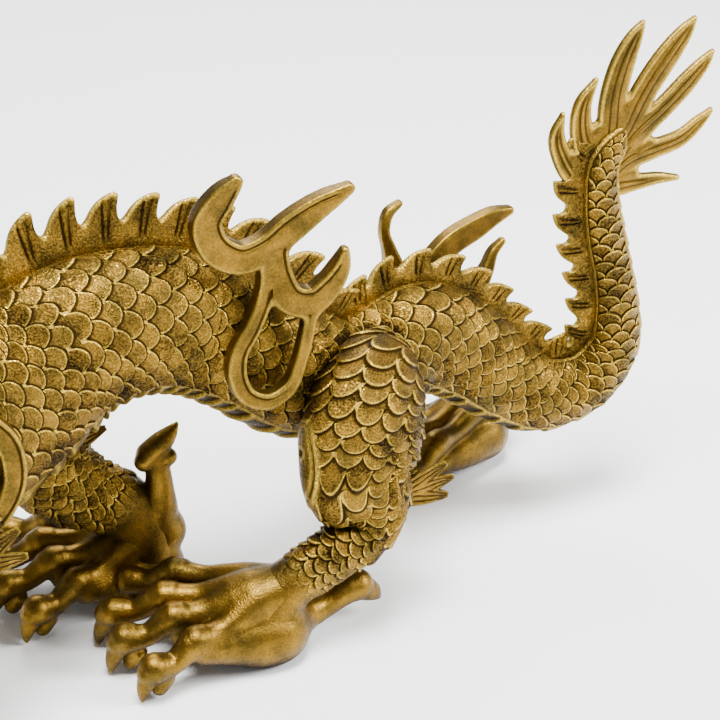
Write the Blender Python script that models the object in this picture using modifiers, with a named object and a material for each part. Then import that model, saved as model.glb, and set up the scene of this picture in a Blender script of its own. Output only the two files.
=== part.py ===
"""A cast brass dragon that walks on four clawed feet.

The long axis runs along X with the head towards -X, the dragon's left side faces -Y and it stands on Z = 0.
The pose and the carving are drawn in units, and LENGTH says how long the drawing's 380 units are.
Every form is one closed loft; a union melts them into a single casting.
"""
import bpy
import bmesh
import math
import numpy as np
from mathutils import Matrix

# Driving dimensions, in metres
LENGTH = 0.380
CREST_THICKNESS = 0.0046
CREST_EDGE = 0.0012
STRAP_THICKNESS = 0.0062
FIN_THICKNESS = 0.0058
TIP_THICKNESS = 0.0012
CLAW_TIP = 0.0016
TUFT_THICKNESS = 0.0046
SOLE_CUT = 0.0007

# Fineness of the facets
BODY_SIDES = 32
BODY_ROWS = 240
LIMB_SIDES = 14
LIMB_ROWS = 26
TOE_SIDES = 8
SKIN_GRAIN = 0.0008
FACETS = 9500
SPINE_STEPS = 600
GROUND_BLOCK = 2.0

UNIT = LENGTH / 380.0
ACROSS = np.array([0.0, 1.0, 0.0])

BRASS = (0.62, 0.40, 0.13)

# The spine from the nape to the tail tip: x, y, z, half width, half height
SPINE = [
    (-190, -30, 186, 12.0, 13.5),
    (-180, -30, 172, 14.0, 16.0),
    (-181, -29, 152, 16.5, 19.0),
    (-181, -27, 130, 20.0, 24.0),
    (-166, -23, 111, 25.0, 31.0),
    (-145, -18, 106, 27.0, 34.0),
    (-126, -13, 113, 25.0, 31.0),
    (-107, -9, 122, 23.5, 28.5),
    (-87, -6, 124, 23.0, 26.5),
    (-66, -3, 119, 22.5, 26.0),
    (-45, -1, 106, 22.5, 25.5),
    (-28, 1, 91, 22.5, 24.5),
    (-9, 5, 82, 22.0, 23.0),
    (9, 9, 84, 21.5, 22.5),
    (27, 12, 88, 20.5, 22.0),
    (45, 13, 79, 19.0, 20.5),
    (62, 12, 64, 17.0, 18.0),
    (81, 10, 53, 15.0, 15.6),
    (99, 8, 57, 13.0, 13.6),
    (109, 7, 70, 11.5, 12.0),
    (109, 6, 87, 9.6, 10.2),
    (106, 6, 103, 8.4, 9.0),
    (102, 6, 118, 8.4, 8.8),
    (99, 6, 133, 7.8, 8.0),
    (99, 6, 146, 6.4, 6.8),
    (105, 6, 157, 3.0, 3.6),
]


def smooth(table, count):
    """Read count rows, evenly spaced, from a smooth curve through the rows of a table."""
    table = np.array(table, float)
    step = np.linalg.norm(np.diff(table[:, :3], axis=0), axis=1)
    knot = np.concatenate([[0.0], np.cumsum(step)])
    slope = np.gradient(table, knot, axis=0)
    at = np.linspace(0.0, knot[-1], count)
    i = np.clip(np.searchsorted(knot, at, side="right") - 1, 0, len(knot) - 2)
    span = (knot[i + 1] - knot[i])[:, None]
    t = (at - knot[i])[:, None] / span
    return (
        (1 + 2 * t) * (1 - t) ** 2 * table[i]
        + t * (1 - t) ** 2 * span * slope[i]
        + t * t * (3 - 2 * t) * table[i + 1]
        + t * t * (t - 1) * span * slope[i + 1]
    )


def frames(places, across=ACROSS):
    """Give the tangent, the side and the upward direction along a row of places."""
    along = np.gradient(places, axis=0)
    along /= np.linalg.norm(along, axis=1, keepdims=True)
    side = across - along * (along @ across)[:, None]
    side /= np.linalg.norm(side, axis=1, keepdims=True)
    return along, side, np.cross(along, side)


def solid(name, rings):
    """Skin a stack of equal rings and close both ends."""
    rows, sides = rings.shape[:2]
    mesh = bpy.data.meshes.new(name)
    faces = [
        (i * sides + j, i * sides + (j + 1) % sides, (i + 1) * sides + (j + 1) % sides, (i + 1) * sides + j)
        for i in range(rows - 1)
        for j in range(sides)
    ]
    faces.append(tuple(reversed(range(sides))))
    faces.append(tuple(range((rows - 1) * sides, rows * sides)))
    mesh.from_pydata(rings.reshape(-1, 3).tolist(), [], faces)
    mesh.update()
    form = bpy.data.objects.new(name, mesh)
    forms.objects.link(form)
    form.hide_render = True
    form.display_type = "WIRE"
    return form


def loft(name, table, rows, sides, across=ACROSS, bumps=None):
    """Carry an oval along a smooth path: each row of the table is a place in units and two half sizes."""
    path = smooth(table, rows) * UNIT
    along, side, up = frames(path[:, :3], across)
    turn = np.arange(sides) * math.tau / sides
    wide, high = path[:, 3, None], path[:, 4, None]
    swell = np.ones((rows, sides)) if bumps is None else 1.0 + bumps(rows, sides)
    ring = path[:, None, :3] + (wide * swell * np.cos(turn))[..., None] * side[:, None]
    ring = ring + (high * swell * np.sin(turn))[..., None] * up[:, None]
    return solid(name, ring)


# Where a strap's bevel starts, as a share of its half width
BEVEL = 0.62


def strap(name, table, rows, thickness, across=ACROSS):
    """Carry a flat bevelled bar along a path: each row is a place and a half width, in units."""
    path = smooth(table, rows) * UNIT
    along, side, up = frames(path[:, :3], across)
    fade = np.clip(path[:, 3] / path[:, 3].max(), 0.0, 1.0)
    thick = np.maximum(thickness * np.sqrt(fade), TIP_THICKNESS) / 2
    shape = [(BEVEL, 1.0), (-BEVEL, 1.0), (-1.0, 0.0), (-BEVEL, -1.0), (BEVEL, -1.0), (1.0, 0.0)]
    ring = np.stack(
        [path[:, :3] + up * (path[:, 3] * across_share)[:, None] - side * (thick * depth)[:, None]
         for across_share, depth in shape],
        axis=1,
    )
    return solid(name, ring)


def belly_plates(rows, sides):
    """Step the belly like overlapping plates, each falling away towards the tail, and bead its edges."""
    low = -np.sin(np.arange(sides) * math.tau / sides)
    step = (np.arange(rows) * BELLY_PLATES / rows) % 1.0
    plates = (0.5 - step)[:, None] * BELLY_STEP * (low > BELLY_EDGE)
    bead = BELLY_STEP / 2 * (np.abs(low - BELLY_EDGE) < BELLY_STEP)
    return plates + bead


# The belly plates: how many there are, and their step and upper edge as shares of the section's half height
BELLY_PLATES = 58
BELLY_STEP = 0.07
BELLY_EDGE = 0.70

# The crest: where each stretch starts along the spine, as a share, with its tooth pitch and height in units
CREST_PITCH = [
    (0.0, 11.0), (0.15, 11.0), (0.30, 12.1), (0.46, 12.1), (0.54, 10.5), (0.72, 10.8), (1.0, 10.6),
]
CREST_HEIGHT = [
    (0.0, 9.0), (0.10, 12.0), (0.24, 15.0), (0.32, 17.5), (0.46, 16.0), (0.54, 9.0), (0.60, 11.5), (0.66, 10.0),
    (0.93, 10.5), (1.0, 5.0),
]
CREST_BAND = 0.38
CREST_HOOK = 0.33
# Its section, as shares: how deep it is rooted in the body, and where and how its waist stands
CREST_ROOT = 0.8
CREST_WAIST = 0.35
WAIST_LEAN = 0.2
WAIST_WIDTH = 0.8
TOOTH = [(0.0, 0.0), (0.34, 0.62), (0.68, 1.0), (0.86, 0.40)]


def crest():
    """A thin wall along the back whose top is cut into hooked teeth."""
    fine = smooth(SPINE, SPINE_STEPS)
    share = np.linspace(0.0, 1.0, len(fine))
    back = fine[:, :3] + frames(fine[:, :3])[2] * fine[:, 4, None]
    reach = np.concatenate([[0.0], np.cumsum(np.linalg.norm(np.diff(back, axis=0), axis=1))])
    pitch = np.interp(share, *zip(*CREST_PITCH))
    phase = np.concatenate([[0.0], np.cumsum(np.diff(reach) / pitch[1:])])
    teeth = int(phase[-1])
    marks = np.array([tooth + start for tooth in range(teeth) for start, _ in TOOTH])
    rise = np.array([level for _ in range(teeth) for _, level in TOOTH])
    at = np.interp(marks, phase, np.arange(len(fine)))
    place = np.stack([np.interp(at, np.arange(len(fine)), fine[:, k]) for k in range(5)], axis=1) * UNIT
    along, side, up = frames(place[:, :3])
    height = np.interp(marks, phase, np.interp(share, *zip(*CREST_HEIGHT))) * UNIT
    top = height * (CREST_BAND + (1 - CREST_BAND) * rise)
    lean = along * (height * rise * CREST_HOOK)[:, None]
    root = place[:, :3] + up * (place[:, 4] * CREST_ROOT)[:, None]
    ridge = place[:, :3] + up * (place[:, 4] + top)[:, None] + lean
    waist = place[:, :3] + up * (place[:, 4] + top * CREST_WAIST)[:, None] + lean * WAIST_LEAN
    thick = CREST_THICKNESS / 2
    middle = thick * WAIST_WIDTH
    ring = np.stack(
        [root + side * thick, waist + side * middle, ridge + side * CREST_EDGE / 2,
         ridge - side * CREST_EDGE / 2, waist - side * middle, root - side * thick],
        axis=1,
    )
    return solid("crest", ring)


# Each leg from the hip or shoulder to the ankle: x, y, z, half width, half height
NEAR_HIND_LEG = [
    (2, -8, 92, 12, 12), (-3, -19, 90, 16, 18), (-10, -28, 82, 16, 22), (-15, -33, 72, 13, 22), (-17, -37, 62, 11, 19),
    (-13, -38, 53, 10, 15), (-14, -39, 45, 9.5, 10.5), (-24, -39, 38, 9, 9.5), (-37, -39, 32, 8.5, 8.5),
    (-47, -38, 25, 10, 10), (-52, -37, 17, 12, 12),
]
FAR_HIND_LEG = [
    (8, 20, 84, 14, 16), (22, 34, 78, 16, 18), (36, 42, 68, 13, 15), (52, 47, 58, 10, 11),
    (68, 50, 49, 8.5, 9), (86, 53, 40, 8, 8), (88, 55, 30, 7.5, 7.5), (84, 56, 20, 8.5, 8.5),
]
FAR_FRONT_LEG = [
    (-140, 0, 104, 14, 18), (-131, 10, 90, 14, 18), (-120, 17, 72, 13, 18), (-110, 19, 57, 12, 15.5),
    (-100, 19, 47, 11, 13.5), (-88, 18, 40, 11, 12), (-80, 17, 29, 11, 12), (-79, 17, 18, 12, 12),
]
NEAR_FRONT_LEG = [
    (-158, -26, 110, 14, 18), (-160, -38, 98, 13, 17), (-157, -47, 82, 12, 14), (-160, -53, 66, 11, 11.5),
    (-172, -57, 51, 9.5, 10), (-186, -59, 38, 9, 9.5), (-196, -60, 27, 10, 10), (-200, -60, 17, 12, 12),
]

# A foot, drawn round the palm's centre and looking along its heading
PALM_RADII = (16.0, 15.0, 13.5)
PALM_HEIGHT = 13.0
PALM_END = 1.35
TOES = [(35.0, 60.0, 5.0), (14.0, 60.0, 3.0), (-7.0, 57.0, 1.5), (-28.0, 51.0, 0.0)]
TOE_PROFILE = [
    (0.10, 12.0, 6.2), (0.34, 15.5, 5.6), (0.52, 17.0, 6.0), (0.66, 12.5, 4.6), (0.80, 11.5, 5.4),
    (0.90, 8.5, 4.2), (0.97, 4.0, 2.4), (1.0, 0.4, 0.0),
]
THUMB_PROFILE = [(0.15, 13.0, 8.0), (0.5, 11.0, 7.0), (0.85, 10.5, 6.6), (0.97, 11.0, 5.0), (1.0, 11.2, 2.0)]
INSTEP_PROFILE = [(-0.25, 26, 9), (0.2, 25.5, 10.5), (0.6, 20.5, 9), (1.0, 15.5, 5.5)]
INSTEP_TURN = 8.0
INSTEP_REACH = 30.0
THUMB_REACH = 46.0
THUMB_TURN = 163.0
TUCKED_THUMB_TURN = 232.0
DEWCLAW = [
    (-75, 16, 34, 9, 9), (-73, 15, 45, 5.6, 5.6), (-73, 14, 54, 4.4, 4.4), (-74, 14, 61, 6.4, 5.6),
    (-68, 14, 69, 1.4, 1.4),
]


def compass(heading, angle):
    """The level direction that stands at an angle from the heading, where heading 0 looks along -X."""
    turn = math.radians(heading + angle)
    return np.array([-math.cos(turn), math.sin(turn), 0.0])


def toe(name, palm, way, reach, profile, rows, lift=0.0):
    """A toe from the palm outwards: share of its reach, height above the ground and radius.

    The lift arches the middle of the toe and leaves its claw on the ground.
    """
    finest = CLAW_TIP / 2 / UNIT
    table = [
        (palm[0] + way[0] * reach * share, palm[1] + way[1] * reach * share,
         height + lift * math.sin(math.pi * share), max(radius, finest), max(radius, finest))
        for share, height, radius in profile
    ]
    across = np.cross([0.0, 0.0, 1.0], way)
    loft(name, table, rows, TOE_SIDES, across)


def foot(name, palm, heading, mirror=1, thumb=THUMB_TURN):
    """A palm with an instep, four toes and a thumb that turns away from them, if it has one."""
    wide, deep, high = PALM_RADII
    table = []
    for angle in np.linspace(-PALM_END, PALM_END, 9):
        rim = math.cos(angle)
        table.append((*palm, PALM_HEIGHT + high * math.sin(angle), wide * rim, deep * rim))
    loft(name + "_palm", table, 14, 16, compass(heading, 90))
    for number, (angle, reach, lift) in enumerate(TOES):
        toe(f"{name}_toe_{number + 1}", palm, compass(heading, angle * mirror), reach, TOE_PROFILE, 18, lift)
    toe(name + "_instep", palm, compass(heading, INSTEP_TURN * mirror), INSTEP_REACH, INSTEP_PROFILE, 10)
    if thumb is not None:
        toe(f"{name}_thumb", palm, compass(heading, thumb * mirror), THUMB_REACH, THUMB_PROFILE, 10)


# The hip flames: cast straps that curl up beside the back. Each row is x, y, z and a half width
NEAR_HIP_CRESCENT = [
    (-56, -31, 177, 1.0), (-62, -29, 171, 3.8), (-65, -27, 162, 5.0), (-62, -26, 153, 5.2), (-54, -26, 148, 5.0),
    (-45, -26, 150, 5.0), (-37, -27, 156, 5.0), (-27, -29, 163, 3.8), (-17, -31, 168, 1.0),
]
NEAR_HIP_HOOK = [
    (-42, -25, 146, 3.6), (-41, -26, 138, 4.4), (-37, -27, 131, 5.0), (-30, -27, 129, 5.2), (-24, -28, 134, 4.4),
    (-20, -29, 141, 3.0), (-19, -30, 146, 0.8),
]
NEAR_HIP_LOOP = [
    (-44, -25, 142, 2.8), (-46, -25, 132, 2.9), (-51, -26, 122, 3.1), (-56, -27, 115, 3.3), (-57, -28, 107, 3.4),
    (-54, -29, 100, 3.2), (-47, -30, 97, 3.0), (-40, -30, 100, 2.7), (-35, -29, 109, 2.4), (-32, -28, 118, 2.4),
    (-30, -27, 126, 2.2),
]
FAR_HIP_TONGUES = [
    [(30, 40, 84, 5.0), (25, 42, 98, 5.0), (24, 43, 107, 4.4), (30, 44, 115, 3.6), (37, 45, 124, 0.8)],
    [(38, 41, 86, 6.0), (46, 42, 98, 6.5), (58, 44, 106, 6.0), (70, 45, 111, 3.8), (84, 46, 114, 0.8)],
    [(48, 42, 78, 5.5), (58, 43, 86, 5.5), (68, 44, 93, 4.0), (79, 45, 104, 0.8)],
]
NEAR_SHOULDER_CURL = [
    (-166, -38, 144, 0.8), (-158, -41, 133, 3.4), (-147, -43, 121, 4.0), (-137, -44, 109, 4.0), (-137, -45, 94, 3.8),
    (-147, -46, 83, 3.6), (-160, -45, 86, 3.4), (-164, -44, 98, 3.2), (-155, -44, 106, 3.0), (-147, -45, 98, 2.8),
]
FAR_SHOULDER_CURL = [
    (-162, 6, 142, 0.8), (-154, 9, 132, 3.4), (-143, 13, 121, 4.0), (-133, 16, 109, 4.0), (-133, 20, 94, 3.8),
    (-143, 22, 84, 3.6), (-155, 20, 88, 3.2), (-157, 16, 99, 2.8),
]

# The tail fan: root, bend and tip of each fin in the plane of the tail
FAN_PLANE = 6.0
FAN_HALF_WIDTHS = (5.0, 8.0, 6.4, 1.2)
FAN = [
    ((97, 136), (89, 147), (83, 155), (81, 166)),
    ((99, 142), (93, 156), (90, 166), (94, 178)),
    ((100, 147), (98, 166), (102, 182), (113, 197)),
    ((103, 148), (113, 168), (122, 183), (135, 195)),
    ((105, 146), (121, 161), (132, 172), (144, 181)),
    ((104, 141), (119, 148), (132, 153), (146, 159)),
    ((102, 136), (113, 137), (122, 138), (132, 136)),
]

# Tufts of hair at each hock and elbow: root, then the tips
TUFTS = {
    "near_hock": ((2, -38, 54), [(14, -39, 64), (18, -40, 57), (15, -40, 49)]),
    "far_hock": ((86, 53, 42), [(97, 53, 52), (102, 54, 45), (99, 54, 37)]),
    "far_elbow": ((-108, 18, 66), [(-103, 19, 84), (-95, 19, 80), (-90, 19, 71)]),
    "near_elbow": ((-155, -51, 72), [(-144, -52, 90), (-138, -53, 83), (-136, -53, 73)]),
}
TUFT_HALF_WIDTHS = (4.0, 3.6, 0.6)

# The head, drawn round its own middle plane
HEAD_PLANE = -30.0
SKULL = [
    (-183, 0, 184, 11, 12), (-194, 0, 191, 13.5, 13), (-205, 0, 192, 13, 11), (-215, 0, 189, 10.5, 8),
    (-226, 0, 187, 9, 6.4), (-235, 0, 187.5, 8.6, 6), (-240, 0, 187, 4.5, 3.5),
]
JAW = [
    (-190, 0, 180, 10, 8), (-204, 0, 175, 8.8, 5), (-217, 0, 172, 7.6, 3.8), (-228, 0, 172.5, 6.4, 3.4),
    (-235, 0, 175, 3.4, 2.2),
]
HORN = [(-192, 7, 201, 3.6, 3.6), (-182, 9, 209, 3.2, 3.2), (-170, 11, 212, 2.7, 2.7), (-157, 13, 217, 0.8, 0.8)]
HORN_FORK = [(-179, 10, 210, 2.4, 2.4), (-172, 12, 217, 2.0, 2.0), (-168, 14, 223, 0.7, 0.7)]
BROW = [(-196, 9, 201, 3.0, 2.6), (-204, 10, 203, 4.0, 3.2), (-211, 8, 199, 3.0, 2.4), (-215, 5, 195, 1.6, 1.4)]
WHISKER = [(-233, 6, 184, 2.2, 2.2), (-230, 14, 180, 1.9, 1.9), (-220, 21, 179, 1.6, 1.6), (-210, 24, 184, 0.7, 0.7)]
EAR = [(-189, 10, 195, 3.0), (-181, 18, 199, 4.2), (-170, 25, 205, 0.7)]
MANE = [
    [(-190, 9, 188, 4.5), (-178, 15, 188, 5.0), (-164, 19, 193, 0.7)],
    [(-189, 11, 182, 4.8), (-177, 17, 177, 5.4), (-161, 20, 179, 0.7)],
    [(-188, 11, 176, 4.8), (-178, 18, 167, 5.4), (-163, 22, 163, 0.7)],
    [(-190, 9, 172, 4.6), (-184, 17, 160, 5.0), (-172, 22, 149, 0.7)],
]
BEARD = [(-203, 0, 173, 4.0), (-203, 0, 164, 4.2), (-196, 0, 153, 0.7)]
EYE = (-206, 10.5, 195.5)
EYE_RADIUS = 3.8
NOSTRIL = (-235, 5.5, 191)
NOSTRIL_RADIUS = 3.6


def placed(table, plane, mirror=1):
    """Turn a drawing round a middle plane into places, on its own side or the other one."""
    return [(x, plane + y * mirror, *rest) for x, y, *rest in table]


def ball(name, centre, radius):
    """A coarse ball, for an eye or a nostril."""
    share = np.linspace(-0.92, 0.92, 5)
    table = [(centre[0], centre[1] + radius * k, centre[2], *([radius * math.sqrt(1 - k * k)] * 2)) for k in share]
    loft(name, table, 5, 8, np.array([1.0, 0.0, 0.0]))


def legs():
    """The four legs, with the tufts at their hocks and elbows, and the feet under them."""
    for name, table in (
        ("near_hind_leg", NEAR_HIND_LEG), ("far_hind_leg", FAR_HIND_LEG),
        ("near_front_leg", NEAR_FRONT_LEG), ("far_front_leg", FAR_FRONT_LEG),
    ):
        loft(name, table, LIMB_ROWS, LIMB_SIDES)
    for name, (root, tips) in TUFTS.items():
        for number, tip in enumerate(tips):
            middle = [(a + b) / 2 for a, b in zip(root, tip)]
            rows = [(*place, half) for place, half in zip((root, middle, tip), TUFT_HALF_WIDTHS)]
            strap(f"{name}_tuft_{number + 1}", rows, 4, TUFT_THICKNESS)
    foot("near_hind_foot", (-53, -37), 10)
    foot("far_hind_foot", (76, 56), 4, mirror=-1, thumb=TUCKED_THUMB_TURN)
    foot("far_front_foot", (-80, 17), 6, thumb=None)
    loft("dewclaw", DEWCLAW, 10, TOE_SIDES, np.array([1.0, 0.0, 0.0]))
    foot("near_front_foot", (-200, -60), -2, mirror=-1)


def flames():
    """The straps that curl over the hips and shoulders."""
    strap("near_hip_crescent", NEAR_HIP_CRESCENT, 13, STRAP_THICKNESS)
    strap("near_hip_hook", NEAR_HIP_HOOK, 9, STRAP_THICKNESS)
    strap("near_hip_loop", NEAR_HIP_LOOP, 14, STRAP_THICKNESS)
    for number, tongue in enumerate(FAR_HIP_TONGUES):
        strap(f"far_hip_tongue_{number + 1}", tongue, 8, STRAP_THICKNESS)
    strap("near_shoulder_curl", NEAR_SHOULDER_CURL, 16, STRAP_THICKNESS)
    strap("far_shoulder_curl", FAR_SHOULDER_CURL, 14, STRAP_THICKNESS)


def fan():
    """The fins that spread round the tail tip."""
    for number, points in enumerate(FAN):
        rows = [(x, FAN_PLANE, z, half) for (x, z), half in zip(points, FAN_HALF_WIDTHS)]
        strap(f"fan_fin_{number + 1}", rows, 6, FIN_THICKNESS)


def head():
    """Skull, jaw, horns, brows, ears, whiskers, mane and beard."""
    loft("skull", placed(SKULL, HEAD_PLANE), 12, 12)
    loft("jaw", placed(JAW, HEAD_PLANE), 8, 8)
    strap("beard", placed(BEARD, HEAD_PLANE), 5, FIN_THICKNESS)
    for side, mirror in (("left", -1), ("right", 1)):
        loft(f"{side}_horn", placed(HORN, HEAD_PLANE, mirror), 7, 6)
        loft(f"{side}_horn_fork", placed(HORN_FORK, HEAD_PLANE, mirror), 4, 6)
        loft(f"{side}_brow", placed(BROW, HEAD_PLANE, mirror), 6, 6)
        loft(f"{side}_whisker", placed(WHISKER, HEAD_PLANE, mirror), 7, 5, np.array([0.0, 0.0, 1.0]))
        strap(f"{side}_ear", placed(EAR, HEAD_PLANE, mirror), 5, FIN_THICKNESS)
        for number, lock in enumerate(MANE):
            strap(f"{side}_mane_{number + 1}", placed(lock, HEAD_PLANE, mirror), 5, FIN_THICKNESS)
        ball(f"{side}_eye", placed([EYE], HEAD_PLANE, mirror)[0], EYE_RADIUS)
        ball(f"{side}_nostril", placed([NOSTRIL], HEAD_PLANE, mirror)[0], NOSTRIL_RADIUS)


def brass():
    """Cast brass, warm and half matt."""
    material = bpy.data.materials.new("cast_brass")
    material.use_nodes = True
    shader = material.node_tree.nodes["Principled BSDF"]
    shader.inputs["Base Color"].default_value = (*BRASS, 1.0)
    shader.inputs["Metallic"].default_value = 1.0
    shader.inputs["Roughness"].default_value = 0.38
    return material


def ground_block():
    """The block that files small flat soles under the palms and claws."""
    bpy.ops.mesh.primitive_cube_add(size=GROUND_BLOCK, location=(0, 0, SOLE_CUT - GROUND_BLOCK / 2))
    block = bpy.context.active_object
    block.name = "ground_block"
    for holder in list(block.users_collection):
        holder.objects.unlink(block)
    cutters.objects.link(block)
    block.hide_render = True
    block.display_type = "WIRE"
    return block


def largest_shell(work):
    """Keep the outer skin and drop the bubbles that are left between forms."""
    start = max(work.verts, key=lambda vert: vert.co.z)
    kept = {start}
    edge = [start]
    while edge:
        vert = edge.pop()
        for link in vert.link_edges:
            other = link.other_vert(vert)
            if other not in kept:
                kept.add(other)
                edge.append(other)
    bmesh.ops.delete(work, geom=[vert for vert in work.verts if vert not in kept], context="VERTS")


# More vertices than any skin has
MOST_VERTICES = 1e7


def edge_rank(edge):
    """A number that orders edges by their ends."""
    first, last = sorted(vert.index for vert in edge.verts)
    return first * MOST_VERTICES + last


def melted(shells):
    """Melt overlapping shells into one skin, its edges in an order that is the same on every computer."""
    raw = bpy.data.objects.new("shells", shells)
    casting.objects.link(raw)
    skin = raw.modifiers.new("skin", "REMESH")
    skin.mode = "VOXEL"
    skin.voxel_size = SKIN_GRAIN
    mesh = baked(raw)
    work = bmesh.new()
    work.from_mesh(mesh)
    largest_shell(work)
    work.verts.index_update()
    work.edges.sort(key=edge_rank)
    work.to_mesh(mesh)
    work.free()
    return mesh


def baked(item):
    """Take an object's mesh as its modifiers leave it, and remove the object."""
    view = bpy.context.evaluated_depsgraph_get()
    mesh = bpy.data.meshes.new_from_object(item.evaluated_get(view))
    bpy.data.objects.remove(item)
    return mesh


def cast():
    """Melt every form into one skin, thin its facets out, file the soles flat and centre it over its origin."""
    shells = bmesh.new()
    for form in list(forms.objects):
        shells.from_mesh(form.data)
        bpy.data.objects.remove(form)
    joined = bpy.data.meshes.new("shells")
    shells.to_mesh(joined)
    shells.free()
    skin = melted(joined)
    rough = bpy.data.objects.new("rough", skin)
    casting.objects.link(rough)
    thin = rough.modifiers.new("thin", "DECIMATE")
    thin.ratio = FACETS / sum(len(face.vertices) - 2 for face in skin.polygons)
    thin.use_collapse_triangulate = True
    soles = rough.modifiers.new("soles", "BOOLEAN")
    soles.operation = "DIFFERENCE"
    soles.solver = "EXACT"
    soles.object = ground_block()
    mesh = baked(rough)
    mesh.name = "dragon"
    places = np.array([vert.co for vert in mesh.vertices])
    low, high = places.min(axis=0), places.max(axis=0)
    home = np.array([(low[0] + high[0]) / 2, (low[1] + high[1]) / 2, low[2]])
    mesh.transform(Matrix.Translation(-home))
    mesh.materials.clear()
    mesh.materials.append(brass())
    casting.objects.link(bpy.data.objects.new("dragon", mesh))
    print("the drawing's origin stands at", *(-home).round(5))


for old in list(bpy.data.objects):
    bpy.data.objects.remove(old)
casting = bpy.data.collections.new("dragon")
forms = bpy.data.collections.new("forms")
cutters = bpy.data.collections.new("cutters")
for group in (casting, forms, cutters):
    bpy.context.scene.collection.children.link(group)

loft("trunk", SPINE, BODY_ROWS, BODY_SIDES, bumps=belly_plates)
crest()
legs()
flames()
fan()
head()
cast()
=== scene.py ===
import math
import bpy
import numpy as np
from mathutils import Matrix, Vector


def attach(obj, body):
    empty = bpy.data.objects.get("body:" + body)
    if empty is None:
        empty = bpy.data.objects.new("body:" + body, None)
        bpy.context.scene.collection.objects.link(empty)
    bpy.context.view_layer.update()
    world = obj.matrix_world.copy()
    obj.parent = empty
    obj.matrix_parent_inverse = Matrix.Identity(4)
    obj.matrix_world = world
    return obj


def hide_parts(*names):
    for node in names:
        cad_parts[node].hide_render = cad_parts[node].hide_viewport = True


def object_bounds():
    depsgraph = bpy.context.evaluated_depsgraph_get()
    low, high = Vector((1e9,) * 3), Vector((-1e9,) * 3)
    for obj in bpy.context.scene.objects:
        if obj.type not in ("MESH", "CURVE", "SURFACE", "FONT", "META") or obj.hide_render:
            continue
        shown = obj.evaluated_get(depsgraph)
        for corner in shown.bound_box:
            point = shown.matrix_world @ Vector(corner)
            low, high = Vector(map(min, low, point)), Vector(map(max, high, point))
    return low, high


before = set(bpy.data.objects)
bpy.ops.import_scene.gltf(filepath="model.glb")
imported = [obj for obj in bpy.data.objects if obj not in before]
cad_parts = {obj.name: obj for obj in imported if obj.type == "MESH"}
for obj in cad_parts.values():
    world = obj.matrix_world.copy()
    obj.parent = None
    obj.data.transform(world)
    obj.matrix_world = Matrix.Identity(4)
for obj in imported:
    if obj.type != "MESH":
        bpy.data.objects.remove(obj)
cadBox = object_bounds()

# Everything is drawn in millimetres round the same origin as the solids
mm = 0.001
home = np.array([56.23, 2.83, -0.70])  # where the drawing's origin stands in the frame
ground = 0.70  # the drawing's height of the flat soles
acrossBody = np.array([0.0, 1.0, 0.0])

# The spine from the nape to the tail tip: x, y, z, half width, half height
spine = [
    (-190, -30, 186, 12.0, 13.5), (-180, -30, 172, 14.0, 16.0), (-181, -29, 152, 16.5, 19.0),
    (-181, -27, 130, 20.0, 24.0), (-166, -23, 111, 25.0, 31.0), (-145, -18, 106, 27.0, 34.0),
    (-126, -13, 113, 25.0, 31.0), (-107, -9, 122, 23.5, 28.5), (-87, -6, 124, 23.0, 26.5),
    (-66, -3, 119, 22.5, 26.0), (-45, -1, 106, 22.5, 25.5), (-28, 1, 91, 22.5, 24.5),
    (-9, 5, 82, 22.0, 23.0), (9, 9, 84, 21.5, 22.5), (27, 12, 88, 20.5, 22.0), (45, 13, 79, 19.0, 20.5),
    (62, 12, 64, 17.0, 18.0), (81, 10, 53, 15.0, 15.6), (99, 8, 57, 13.0, 13.6), (109, 7, 70, 11.5, 12.0),
    (109, 6, 87, 9.6, 10.2), (106, 6, 103, 8.4, 9.0), (102, 6, 118, 8.4, 8.8), (99, 6, 133, 7.8, 8.0),
    (99, 6, 146, 7.0, 7.2), (104, 6, 154, 5.4, 5.6), (107, 6, 159, 2.0, 2.4),
]


def smoothPath(table, count):  # Hermite curves through the rows, read at evenly spaced lengths
    table = np.array(table, float)
    step = np.linalg.norm(np.diff(table[:, :3], axis=0), axis=1)
    knot = np.concatenate([[0.0], np.cumsum(step)])
    slope = np.gradient(table, knot, axis=0)
    at = np.linspace(0.0, knot[-1], count)
    i = np.clip(np.searchsorted(knot, at, side="right") - 1, 0, len(knot) - 2)
    span = (knot[i + 1] - knot[i])[:, None]
    t = (at - knot[i])[:, None] / span
    return ((1 + 2 * t) * (1 - t) ** 2 * table[i] + t * (1 - t) ** 2 * span * slope[i]
            + t * t * (3 - 2 * t) * table[i + 1] + t * t * (t - 1) * span * slope[i + 1])


def framesAlong(places):  # tangent, side and upward direction at every place
    along = np.gradient(places, axis=0)
    along /= np.linalg.norm(along, axis=1, keepdims=True)
    side = acrossBody - along * (along @ acrossBody)[:, None]
    side /= np.linalg.norm(side, axis=1, keepdims=True)
    return along, side, np.cross(along, side)


def lengthAlong(places):
    return np.concatenate([[0.0], np.cumsum(np.linalg.norm(np.diff(places, axis=0), axis=1))])


def fade(value, start, end):  # 0 at start, 1 at end, with soft ends
    t = np.clip((value - start) / (end - start), 0.0, 1.0)
    return t * t * (3 - 2 * t)


def bell(value, width):  # 1 in the middle, falling off over that width
    return np.exp(-(value / width) ** 2)


def melt(a, b, soft):  # the smaller of two distances, rounded where they meet
    t = np.clip(0.5 + 0.5 * (b - a) / soft, 0.0, 1.0)
    return b + (a - b) * t - soft * t * (1 - t)


def gridQuads(rows, columns):  # faces between neighbouring rows of rings that close on themselves
    i, j = np.meshgrid(np.arange(rows - 1), np.arange(columns), indexing="ij")
    k = (j + 1) % columns
    return np.stack([i * columns + j, i * columns + k, (i + 1) * columns + k, (i + 1) * columns + j], -1).reshape(-1, 4)


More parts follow.
